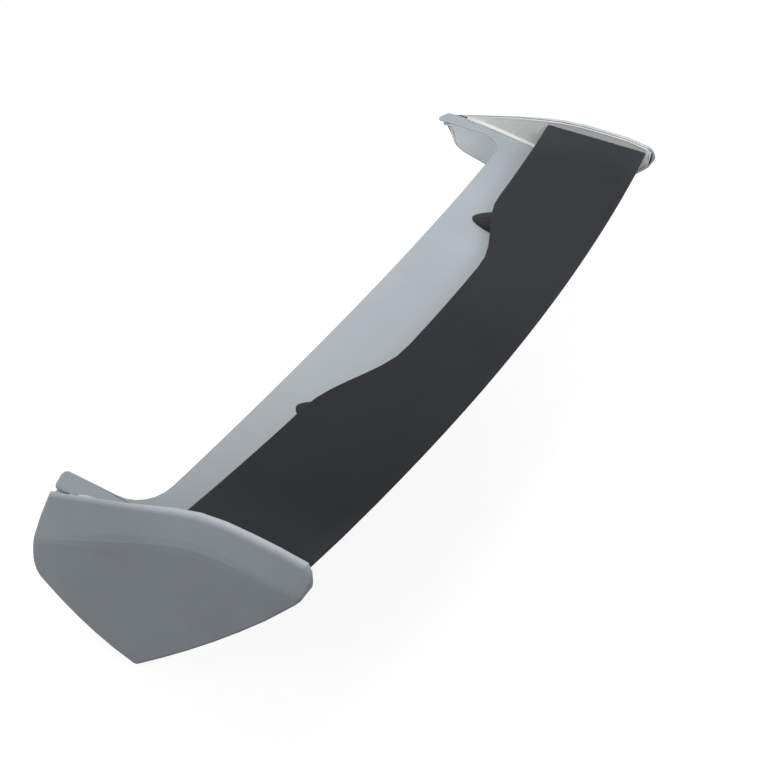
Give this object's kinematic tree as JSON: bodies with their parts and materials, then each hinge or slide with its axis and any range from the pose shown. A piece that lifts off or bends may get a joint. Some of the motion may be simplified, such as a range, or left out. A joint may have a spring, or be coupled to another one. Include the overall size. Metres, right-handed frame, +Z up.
{
  "type": "roof spoiler",
  "caption": "Two-deck hatchback roof spoiler: base panel with forward horns, waisted blade over an air slot, struts and flared hollow end plates.",
  "frame": {"origin": "centre of the four mounting studs, in the plane of the seals' lower faces where the tailgate meets them", "axes": "+X across the car to its right-hand side seen from behind, +Y forward to the roof, +Z up"},
  "size_m": [1.2538, 0.4509, 0.2508],
  "materials": {
    "base_primer": "smooth light blue-grey primer, satin",
    "underpanel_plastic": "fine moulded grain",
    "blade_black": "satin black",
    "strut_black": "satin black",
    "plate_grey": "smooth mid-grey primer, satin",
    "wall_grey": "smooth grey primer, satin",
    "liner_grey": "smooth grey primer, satin",
    "zinc_steel": "zinc plated",
    "insert_brass": "turned",
    "seal_rubber": "closed-cell foam rubber",
    "pin_plastic": "moulded natural plastic"
  },
  "bodies": {
    "root": {"base_panel": "base_primer", "base_underpanel": "underpanel_plastic", "blade_upper_skin": "blade_black", "blade_lower_skin": "blade_black", "strut_left": "strut_black", "strut_right": "strut_black", "plate_outer_left": "plate_grey", "plate_outer_right": "plate_grey", "plate_wall_left": "wall_grey", "plate_wall_right": "wall_grey", "plate_liner_left": "liner_grey", "plate_liner_right": "liner_grey", "blade_rib_left": "underpanel_plastic", "blade_rib_right": "underpanel_plastic", "mounting_studs": "zinc_steel", "stud_inserts": "insert_brass", "stud_seals": "seal_rubber", "strut_bolts": "zinc_steel", "blade_inserts": "insert_brass", "rib_screws_left": "zinc_steel", "rib_screws_right": "zinc_steel", "wall_screws_left": "zinc_steel", "wall_screws_right": "zinc_steel", "liner_screws_left": "zinc_steel", "liner_screws_right": "zinc_steel", "underpanel_screws": "zinc_steel", "locating_pins_left": "pin_plastic", "locating_pins_right": "pin_plastic", "front_foam_strip": "seal_rubber"}
  },
  "joints": []
}
